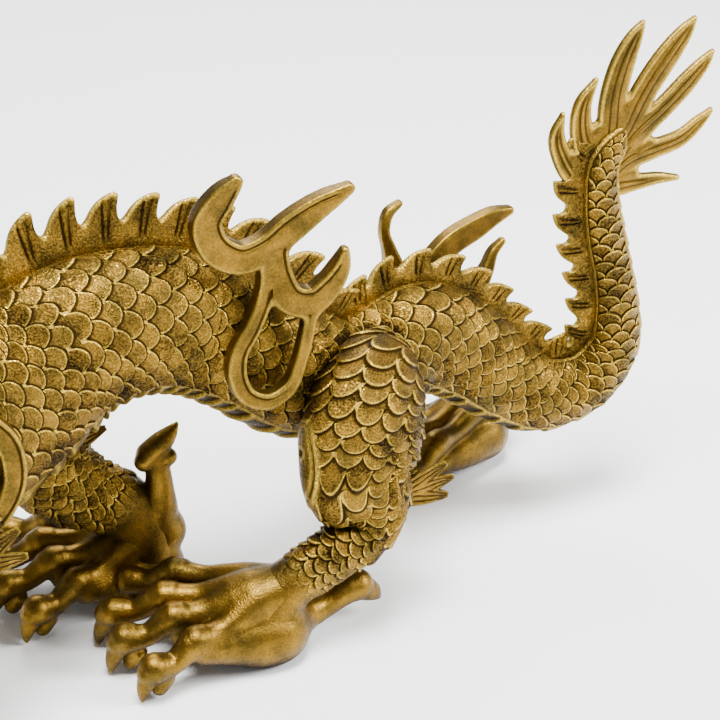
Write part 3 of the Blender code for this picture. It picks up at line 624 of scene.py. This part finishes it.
# A foot is drawn round the palm's centre and looks along its heading; toes fan out from the wrist behind it
foot = {
    "palmHeight": 10.5, "wrist": 12.0,
    # angle, reach and lift of the knuckles
    "toes": [(31.0, 70.0, 3.0), (14.0, 71.0, 2.0), (0.0, 66.5, 0.5), (-18.0, 61.0, -2.0)],
    # along the toe as a share of its reach, height above the ground and radius
    "toe": [(0.10, 28.5, 3.6), (0.24, 26.6, 4.8), (0.38, 23.4, 4.7), (0.50, 21.0, 4.2), (0.58, 20.6, 4.5),
            (0.655, 20.6, 5.5), (0.72, 18.0, 4.6), (0.80, 14.8, 4.1), (0.865, 14.6, 4.8), (0.915, 14.8, 5.5),
            (0.945, 13.6, 4.4)],
    "claw": [(0.945, 11.8, 3.9), (0.975, 8.2, 3.0), (0.992, 4.9, 1.9), (0.998, 2.0, 0.7)],
    "pad": [(0.855, 8.4, 3.6), (0.89, 5.2, 2.9)],
    "underhand": [(0.15, 12.5, 9.5), (0.38, 13.0, 8.2), (0.60, 14.6, 5.8)],
    "thumb": [(0.10, 12.0, 8.5), (0.38, 11.4, 6.0), (0.56, 12.6, 4.8), (0.74, 15.6, 5.4), (0.84, 16.0, 5.8)],
    "thumbClaw": [(0.86, 14.5, 4.6), (0.96, 11.6, 3.8), (1.02, 8.6, 1.8)],
    "thumbReach": 45.0, "instep": [(-0.25, 26, 9), (0.15, 24.0, 9.2), (0.5, 18.5, 8.2), (0.9, 14.0, 5.0)],
    "instepTurn": 4.0, "instepReach": 30.0, "palmMelt": 7.0, "limbMelt": 4.0,
    "roomAhead": 68.0, "roomBeside": 48.0, "roomBehind": 54.0, "roomAbove": 44.0,
}
# Where each palm stands, where it looks and on which side its thumb is; palm is its half width, depth and height
feet = {
    "nearHindFoot": {"at": (-53, -37), "heading": 10, "mirror": 1, "thumb": 163, "palm": (14.0, 15.0, 12.0),
                     "reach": 1.0, "step": 0.62},
    "farHindFoot": {"at": (76, 56), "heading": 4, "mirror": -1, "thumb": 232, "palm": (8.5, 16.0, 10.5),
                    "reach": 0.95, "step": 0.80},
    "farFrontFoot": {"at": (-80, 17), "heading": 4, "mirror": 1, "thumb": None, "palm": (12.5, 14.0, 11.0),
                     "reach": 1.03, "step": 0.72, "roomAbove": 74.0},
    "nearFrontFoot": {"at": (-200, -60), "heading": 3, "mirror": -1, "thumb": 163, "palm": (13.5, 15.0, 11.5),
                      "reach": 0.975, "step": 0.90},
}
# The spur behind the far front foot, with the bulbs and the claw at its end
dewclaw = [(-75, 16, 34, 9), (-73, 15, 44, 5.6), (-73, 15, 52, 4.6), (-74, 15, 56, 4.6)]
dewclawParts = [
    [(-78, 14, 57, 3.8), (-77, 14, 58, 3.8)], [(-70, 14, 56.5, 3.4), (-69, 14, 57, 3.2)],
    [(-76, 15, 59, 4.6), (-72, 15, 62, 4.4), (-67, 15, 66.5, 2.4), (-65, 15, 69, 0.9)],
]


def compass(heading, angle):  # the level direction at an angle from the heading, where heading 0 looks along -X
    turn = math.radians(heading + angle)
    return np.array([-math.cos(turn), math.sin(turn), 0.0])


def toePath(palm, way, reach, profile, count, arch=0.0):
    rows = [(palm[0] + way[0] * reach * s, palm[1] + way[1] * reach * s, z + arch * bell(s - 0.65, 0.4), r)
            for s, z, r in profile]
    return smoothPath(rows, count)


def buildFoot(name, f):
    palm, mirror, heading = f["at"], f["mirror"], f["heading"]
    wrist = np.array([*palm, 0.0]) - compass(heading, 0) * foot["wrist"]
    low = (palm[0] - foot["roomAhead"], palm[1] - foot["roomBeside"], -3.0)
    high = (palm[0] + foot["roomBehind"], palm[1] + foot["roomBeside"], f.get("roomAbove", foot["roomAbove"]))
    block = openBlock(low, high, f["step"])
    for angle, reach, arch in foot["toes"]:
        way, reach = compass(heading, angle * mirror), reach * f["reach"]
        addTube(block, toePath(wrist, way, reach, foot["toe"], 26, arch), 0.8)
        for key, count, soft in (("pad", 4, 1.2), ("underhand", 8, 2.0), ("claw", 8, 0.25)):
            addTube(block, toePath(wrist, way, reach, foot[key], count), soft)
    x, y, z = blockPoints(block)
    ahead, beside = compass(heading, 0), compass(heading, 90)
    forward = (x - palm[0]) * ahead[0] + (y - palm[1]) * ahead[1]
    sideways = (x - palm[0]) * beside[0] + (y - palm[1]) * beside[1]
    wide, deep, tall = f["palm"]
    ball = (np.sqrt((sideways / wide) ** 2 + (forward / deep) ** 2 + ((z - foot["palmHeight"]) / tall) ** 2) - 1) * tall
    block["value"] = melt(block["value"], ball, foot["palmMelt"])
    way = compass(heading, foot["instepTurn"] * mirror)
    addTube(block, toePath(palm, way, foot["instepReach"], foot["instep"], 8), foot["limbMelt"])
    if f["thumb"]:
        way = compass(heading, f["thumb"] * mirror)
        addTube(block, toePath(palm, way, foot["thumbReach"], foot["thumb"], 10), foot["limbMelt"])
        addTube(block, toePath(palm, way, foot["thumbReach"], foot["thumbClaw"], 6), 0.3)
    if name == "farFrontFoot":
        addTube(block, smoothPath(dewclaw, 14), 2.6)
        for part in dewclawParts:
            addTube(block, smoothPath(part, 8), 0.5)
    block["value"] = np.maximum(block["value"], ground - z)
    # the feet are darker over their lowest 10 mm, toward the ground
    addSkin(name, block, lambda points: {"patina": 0.4 * (1 - fade(points[:, 2], 1, 10))})


for name, look in feet.items():
    buildFoot(name, look)


# Flat castings: the outline is a union of bars in the plane of X and Z, and every depth across the metal
# follows from how far inside the outline a place is: a rounded edge, a raised border, a cut line, a sunk field.
flames = {
    "nearHipFlame": [
        [(-56, -31, 176, 2.2), (-61, -29, 170, 4.4), (-65, -27, 162, 5.1), (-62, -26, 153, 5.4), (-54, -26, 148, 5.2),
         (-45, -26, 150, 5.2), (-37, -27, 156, 5.2), (-27, -29, 163, 4.0), (-18, -31, 168, 2.0)],
        [(-42, -25, 148, 4.6), (-41, -26, 139, 5.0), (-37, -27, 131, 5.2), (-30, -27, 129, 5.2), (-24, -28, 134, 4.4),
         (-20, -29, 141, 3.0), (-19, -30, 146, 1.6)],
        [(-44, -25, 142, 2.8), (-46, -25, 132, 2.9), (-51, -26, 122, 3.1), (-56, -27, 115, 3.3), (-57, -28, 107, 3.4),
         (-54, -29, 100, 3.2), (-47, -30, 97, 3.0), (-40, -30, 100, 2.7), (-35, -29, 109, 2.4), (-32, -28, 118, 2.4),
         (-30, -27, 126, 2.2)]],
    "farHipFlame": [
        [(33, 41, 88, 5.0), (33, 42, 100, 4.0), (31, 43, 109, 2.6), (29, 43, 117, 2.0), (31, 44, 123, 2.0),
         (36, 45, 126, 1.3)],
        [(40, 41, 84, 6.0), (48, 43, 98, 5.0), (57, 44, 106, 5.0), (69, 45, 111, 4.6), (78, 46, 114, 3.2),
         (84, 46, 115, 1.8)],
        [(62, 42, 76, 5.0), (70, 44, 86, 3.8), (74, 44, 93, 2.7), (77, 45, 99, 2.0), (81, 45, 103, 1.3)]],
    "nearShoulderFlame": [
        [(-166, -38, 144, 1.6), (-158, -41, 133, 3.4), (-147, -43, 121, 4.0), (-137, -44, 109, 4.0),
         (-137, -45, 94, 3.8), (-147, -46, 83, 3.6), (-160, -45, 86, 3.4), (-164, -44, 98, 3.2),
         (-155, -44, 106, 3.0), (-147, -45, 98, 2.8)]],
    "farShoulderFlame": [
        [(-162, 6, 142, 1.6), (-154, 9, 132, 3.4), (-143, 13, 121, 4.0), (-133, 16, 109, 4.0), (-133, 20, 94, 3.8),
         (-143, 22, 84, 3.6), (-155, 20, 88, 3.2), (-157, 16, 99, 2.8)]],
}
flameLook = {
    "thick": 3.0, "thinnest": 1.2, "swell": 0.55, "round": 1.1, "border": 1.9, "cut": 0.45, "cutWidth": 0.45,
    "cutRoom": (2.5, 3.1), "melt": 2.6, "step": 0.58, "space": 8,
}


def flatCasting(offset, full, inner, round):  # distance to a plate with a rounded edge, negative inside
    radius = np.minimum(round, full * 0.95)
    a, b = np.abs(offset) - (full - radius), radius - inner
    return np.hypot(np.maximum(a, 0), np.maximum(b, 0)) + np.minimum(np.maximum(a, b), 0) - radius


# How far inside the union of the bars a place is, the level of the metal's middle there, the bar's half width, and the
# offset from the bar's line; the last bars may be plain, which keeps the cuts off them
def barShape(x, z, bars, soft, plain=0):
    inner = middle = room = line = None
    for number, bar in enumerate(bars):
        here = np.full(np.broadcast(x, z).shape, -99.0)
        level, half, off = np.zeros_like(here), np.zeros_like(here), np.zeros_like(here)
        for a, b in zip(bar[:-1], bar[1:]):
            dx, dz = b[0] - a[0], b[2] - a[2]
            t = np.clip(((x - a[0]) * dx + (z - a[2]) * dz) / (dx * dx + dz * dz), 0, 1)
            wide = a[3] + (b[3] - a[3]) * t
            deep = wide - np.hypot(x - a[0] - dx * t, z - a[2] - dz * t)
            better = deep > here
            here = np.where(better, deep, here)
            level = np.where(better, a[1] + (b[1] - a[1]) * t, level)
            half = np.where(better, wide, half)
            beside = ((x - a[0]) * dz - (z - a[2]) * dx) / math.hypot(dx, dz)
            off = np.where(better, beside / np.maximum(wide, 1e-6), off)
        if number >= len(bars) - plain:
            off = off + 9.0
        if inner is None:
            inner, middle, room, line = here, level, half, off
        else:
            share = 1 / (1 + np.exp(np.clip((inner - here) / 1.2, -30, 30)))
            middle, room = middle + (level - middle) * share, room + (half - room) * share
            line = np.where(here > inner, off, line)
            inner = -melt(-inner, -here, soft)
    return inner, middle, room, line


def buildFlame(name, bars):
    look = flameLook
    bars = [smoothPath(bar, 60) for bar in bars]
    block = blockRound(np.concatenate(bars), look["space"], look["space"], look["step"])
    x, y, z = blockPoints(block)
    tooled = 1.0 if name.startswith("near") else 0.0

    def plan(x, z):
        inner, middle, room, line = barShape(x, z, bars, look["melt"])
        return inner, middle, room, tooled * fade(-line, 0.0, 0.3) * fade(room, *look["cutRoom"])

    inner, middle, room, cut = plan(x, z)
    full = np.minimum(look["thick"], look["thinnest"] + look["swell"] * room)
    full = full - look["cut"] * bell(inner - look["border"], look["cutWidth"]) * cut
    block["value"] = flatCasting(y - middle, full, inner, look["round"])

    def marks(p):
        inner, _, room, cut = plan(p[:, 0], p[:, 2])
        # rubbed wear with a painted highlight near the outline
        return {"cut": inner - look["border"], "cutDepth": 0.9 * cut, "patina": 0.06 + 0 * room,
                "edge": 0.25 * bell(inner - 0.7, 0.5)}

    addSkin(name, block, marks)


for name, bars in flames.items():
    buildFlame(name, bars)

# The tail fan: fins like long feathers and the webs that join them, each row an x, a z and a half width
fan = {
    "plane": 6.0, "thick": 1.9, "edge": 1.1, "rim": 0.3, "round": 0.8, "groove": 0.45, "apart": 0.26, "melt": 1.8,
    "step": 0.54, "space": 10,
    "fins": [
        [(100, 138, 4.5), (90, 141, 4.4), (83, 150, 4.0), (80, 159, 3.1), (82, 167, 0.8)],
        [(101, 140, 5.0), (94, 150, 5.0), (90, 160, 4.6), (90, 169, 3.6), (95, 178, 0.9)],
        [(102, 146, 5.0), (102.5, 158, 5.8), (103, 172, 5.6), (107, 186, 4.6), (110, 192, 3.2), (113, 197, 0.9)],
        [(103, 146, 5.0), (110, 160, 5.6), (117, 173, 5.4), (126, 185, 4.8), (131, 191, 3.4), (135, 196, 0.9)],
        [(103, 144, 5.0), (113, 155, 5.0), (125, 164, 4.4), (136, 174, 3.9), (141, 179, 2.6), (144, 182.5, 0.9)],
        [(103, 141, 4.5), (112, 146, 4.8), (122, 148, 4.0), (134, 151, 3.5), (141, 156, 2.6), (146, 160, 0.9)],
        [(101, 136, 4.5), (108, 136, 4.4), (117, 136, 3.2), (125, 136, 2.3), (133, 135, 1.2)],
    ],
    "webs": [
        [(100, 140, 4.0), (87, 149, 3.6)], [(100, 142, 5.0), (97, 157, 5.0)], [(102, 146, 5.0), (109, 165, 5.0)],
        [(104, 146, 5.0), (118, 159, 4.4)], [(104, 142, 5.0), (119, 150, 3.4)], [(102, 138, 4.0), (113, 140, 2.8)],
    ],
}


def buildFan(f):
    flat = lambda bar: np.array([(x, f["plane"], z, w) for x, z, w in bar])
    bars = [smoothPath(flat(fin), 40) for fin in f["fins"]] + [flat(web) for web in f["webs"]]
    block = blockRound(np.concatenate(bars), f["space"], f["space"], f["step"])
    x, y, z = blockPoints(block)

    def plan(x, z):
        inner, _, room, line = barShape(x, z, bars, f["melt"], len(f["webs"]))
        cut = (np.abs(line) - f["apart"]) * room  # a pair of cuts runs up the middle of each fin
        deep = fade(inner, 1.0, 2.4)
        rim = bell(inner - 0.9, 0.6)
        full = f["edge"] + (f["thick"] - f["edge"]) * fade(inner, 0.5, 4.5)
        full = full + f["rim"] * rim - f["groove"] * bell(cut, 0.5) * deep
        return inner, full, cut, deep, rim

    inner, full, _, _, _ = plan(x, z)
    block["value"] = flatCasting(y - f["plane"], full, inner, f["round"])

    def marks(p):
        _, _, cut, deep, rim = plan(p[:, 0], p[:, 2])
        # rubbed wear with a painted highlight on the raised rim
        return {"cut": cut, "cutDepth": 0.75 * deep, "edge": 0.6 * rim, "patina": 0.08 + 0 * cut}

    addSkin("tailFan", block, marks)


buildFan(fan)

# Tufts of hair at hocks and elbows: the root, then the tips; each lock is a sheaf of strands
tufts = {
    "nearHockTuft": ((-2, -38, 53), [(15, -40, 63), (18, -40, 57), (16, -40, 50)]),
    "farHockTuft": ((86, 53, 42), [(97, 53, 52), (102, 54, 45), (99, 54, 37)]),
    "farElbowTuft": ((-108, 18, 66), [(-103, 19, 84), (-95, 19, 80), (-90, 19, 71)]),
    "nearElbowTuft": ((-155, -51, 72), [(-144, -52, 90), (-138, -53, 83), (-136, -53, 73)]),
}
strands = {
    "apart": (-3.0, -1.0, 1.0, 3.0), "thick": 0.25, "thinnest": 0.45, "melt": 0.3, "step": 0.50, "below": 8, "above": 4,
}


def addLock(block, places, halves, out):  # strands side by side along the lock, drawn together at its tip
    places = np.array(places, float)
    heading = places[-1] - places[0]
    beside = np.cross(heading / np.linalg.norm(heading), out)
    for offset in strands["apart"]:
        radii = [max(half * strands["thick"], strands["thinnest"]) for half in halves]
        rows = [(*(place + beside * offset * half / 4.0), r) for place, half, r in zip(places, halves, radii)]
        addTube(block, smoothPath(rows, 10), strands["melt"])


def strandCuts(points, locks, out):  # mm to the nearest groove between two strands of the nearest lock
    near, cut = np.full(len(points), 99.0), np.full(len(points), 3.0)
    for places, halves in locks:
        places, stops = np.array(places, float), np.linspace(0, 1, len(places))
        heading = places[-1] - places[0]
        share = np.clip((points - places[0]) @ heading / (heading @ heading), 0, 1)
        middle = np.stack([np.interp(share, stops, places[:, k]) for k in range(3)], 1)
        half = np.interp(share, stops, halves)
        off = (points - middle) @ np.cross(heading / np.linalg.norm(heading), out)
        away = np.linalg.norm(points - middle, axis=1) / half
        line = np.abs((off * 4 / half + 3) % 2 - 1) * half / 4
        cut, near = np.where(away < near, line, cut), np.minimum(away, near)
    return {"cut": cut, "cutDepth": 0.85 * (1 - fade(near, 1.2, 1.8))}


for name, (root, tips) in tufts.items():
    block = blockRound([root, *tips], strands["below"], strands["above"], strands["step"])
    locks = [([root, tuple((np.array(root) + np.array(tip)) / 2), tip], (4.4, 4.0, 1.2)) for tip in tips]
    for places, halves in locks:
        addLock(block, places, halves, acrossBody)
    addSkin(name, block, lambda points: strandCuts(points, locks, acrossBody))

# The head, drawn round its own middle plane: x, y, z and half width, with a half height where a form is oval
head = {
    "plane": -30.0, "step": 0.9,
    "skull": [(-183, 0, 184, 11, 12), (-194, 0, 191, 13.5, 13), (-205, 0, 192, 13, 11), (-215, 0, 189, 10.5, 8),
              (-226, 0, 187, 9, 6.4), (-235, 0, 187.5, 8.6, 6), (-238, 0, 187, 5.5, 4.5)],
    "jaw": [(-190, 0, 180, 10, 8), (-204, 0, 175, 8.8, 5), (-217, 0, 172, 7.6, 3.8),
            (-228, 0, 172.5, 6.4, 3.4), (-233, 0, 174.5, 4.4, 3.0)],
    "horn": [(-192, 7, 201, 3.6), (-182, 9, 209, 3.2), (-170, 11, 212, 2.7), (-157, 13, 217, 0.8)],
    "hornFork": [(-179, 10, 210, 2.4), (-172, 12, 217, 2.0), (-168, 14, 222.5, 0.7)],
    "brow": [(-196, 9, 201, 3.0), (-204, 10, 203, 4.0), (-211, 8, 199, 3.0), (-215, 5, 195, 1.6)],
    "whisker": [(-233, 6, 184, 2.2), (-230, 14, 180, 1.9), (-220, 21, 179, 1.6), (-210, 24, 184, 0.8)],
    "lip": [(-236, 3, 182, 1.6), (-228, 7, 181.5, 1.8), (-216, 8.6, 183, 1.8), (-205, 10.5, 184, 1.6)],
    "jawLip": [(-231, 2.5, 177, 1.3), (-222, 5.5, 176, 1.4), (-210, 7.4, 178.5, 1.5), (-201, 9, 181, 1.4)],
    "tongue": [(-206, 0, 178.5, 3.4, 1.6), (-218, 0, 177.5, 3.4, 1.5), (-227, 0, 179.5, 2.6, 1.3),
               (-231, 0, 182, 1.0, 0.9)],
    "eye": (-206, 10.8, 195.5, 3.8), "nostril": (-235, 5.5, 190.6, 3.4), "nose": (-236, 0, 190, 4.2),
    "ear": ([(-189, 10, 195), (-181, 18, 199), (-170, 25, 204)], (3.0, 4.2, 1.0)),
    "mane": [
        [(-190, 9, 188), (-178, 15, 188), (-164, 19, 193)], [(-189, 11, 182), (-177, 17, 177), (-161, 20, 179)],
        [(-188, 11, 176), (-178, 18, 167), (-163, 22, 163)], [(-190, 9, 172), (-184, 17, 160), (-172, 22, 149)]],
    "beard": ([(-203, 0, 173), (-203, 0, 164), (-196, 0, 153)], (4.0, 4.2, 1.0)),
    "teeth": [(-233, 3.6), (-228, 6.0), (-222, 7.0), (-216, 7.8)],
}


def buildHead(h):
    middle = h["plane"]
    block = openBlock((-243, middle - 30, 144), (-152, middle + 30, 226), h["step"])
    placed = lambda rows, mirror=1: [(r[0], middle + r[1] * mirror, *r[2:]) for r in rows]
    addTube(block, smoothPath(placed(h["skull"]), 16), 1.0, acrossBody)
    addTube(block, smoothPath(placed(h["jaw"]), 12), 2.0, acrossBody)
    addTube(block, smoothPath(placed(h["tongue"]), 8), 0.8, acrossBody)
    addLock(block, placed(h["beard"][0]), h["beard"][1], np.array([1.0, 0.0, 0.0]))
    ball = lambda x, y, z, r: [(x, y, z - 0.01, r), (x, y, z + 0.01, r)]
    addTube(block, ball(h["nose"][0], middle, h["nose"][2], h["nose"][3]), 2.0)
    for mirror in (-1, 1):
        for key, count, soft in (("horn", 12, 1.6), ("hornFork", 6, 1.2), ("brow", 8, 1.4), ("whisker", 12, 0.8),
                                 ("lip", 10, 1.2), ("jawLip", 10, 1.0)):
            addTube(block, smoothPath(placed(h[key], mirror), count), soft)
        for key, soft in (("eye", 0.5), ("nostril", 1.0)):
            x, y, z, r = h[key]
            addTube(block, ball(x, middle + y * mirror, z, r), soft)
        for x, y in h["teeth"]:
            tip = middle + y * mirror
            addTube(block, [(x, tip, 182.0, 1.3), (x + 0.6, tip, 177.6, 0.5)], 0.4)
            lower = tip - 0.8 * mirror  # the lower teeth stand between the upper ones
            addTube(block, [(x + 3, lower, 175.5, 1.2), (x + 2.4, lower, 179.6, 0.5)], 0.4)
        out = np.array([0.2, 1.0 * mirror, 0.1])
        addLock(block, placed(h["ear"][0], mirror), h["ear"][1], np.array([0.0, 0.2, 1.0]))
        for lock in h["mane"]:
            addLock(block, placed(lock, mirror), (4.6, 5.2, 1.1), out)
    addSkin("head", block)


buildHead(head)

# The studio: a pale floor, a big soft light overhead and two weaker ones
studio = {"floor": "FDFDFC", "floorSize": 8.0, "sky": "FFFFFF", "skyStrength": 0.44}
lights = {
    "overhead": {"from": (-0.15, -0.30, 1.45), "size": 0.6, "power": 69.0},
    "side": {"from": (1.2, -0.8, 0.9), "size": 0.6, "power": 48.0},
    "behind": {"from": (0.3, 1.3, 1.2), "size": 0.8, "power": 30.0},
}
view = {"azimuth": -24.0, "elevation": 27.0, "distance": 0.62, "target": (0.0, 0.0, 88.0), "lens": 86.5}


def aimed(item, place, target):
    item.location = place
    item.rotation_euler = (Vector(target) - Vector(place)).to_track_quat("-Z", "Y").to_euler()
    bpy.context.scene.collection.objects.link(item)
    return item


def buildStudio():
    size = studio["floorSize"]
    mesh = bpy.data.meshes.new("floor")
    mesh.from_pydata([(-size, -size, 0), (size, -size, 0), (size, size, 0), (-size, size, 0)], [], [(0, 1, 2, 3)])
    paint = bpy.data.materials.new("mattFloor")
    paint.use_nodes = True
    shader = paint.node_tree.nodes["Principled BSDF"]
    shader.inputs["Base Color"].default_value = linearColor(studio["floor"])
    shader.inputs["Roughness"].default_value = 0.9
    mesh.materials.append(paint)
    floor = bpy.data.objects.new("floor", mesh)
    bpy.context.scene.collection.objects.link(floor)
    target = tuple((np.array(view["target"]) + home) * mm)
    for name, light in lights.items():
        lamp = bpy.data.lights.new(name, "AREA")
        lamp.size = light["size"]
        lamp.energy = light["power"]
        aimed(bpy.data.objects.new(name, lamp), tuple(np.array(light["from"]) + np.array(target)), target)
    world = bpy.data.worlds.new("studio")
    world.use_nodes = True
    backdrop = world.node_tree.nodes["Background"]
    backdrop.inputs["Color"].default_value = linearColor(studio["sky"])
    backdrop.inputs["Strength"].default_value = studio["skyStrength"]
    bpy.context.scene.world = world
    turn, rise = math.radians(view["azimuth"]), math.radians(view["elevation"])
    away = np.array([math.sin(turn) * math.cos(rise), -math.cos(turn) * math.cos(rise), math.sin(rise)])
    lens = bpy.data.cameras.new("camera")
    lens.lens = view["lens"]
    lens.clip_start = 0.01
    place = tuple(np.array(target) + away * view["distance"])
    bpy.context.scene.camera = aimed(bpy.data.objects.new("camera", lens), place, target)
    print("studio set")


buildStudio()
print("dragon", sum(len(p.vertices) - 2 for piece in pieces for p in piece.data.polygons), "triangles in all")
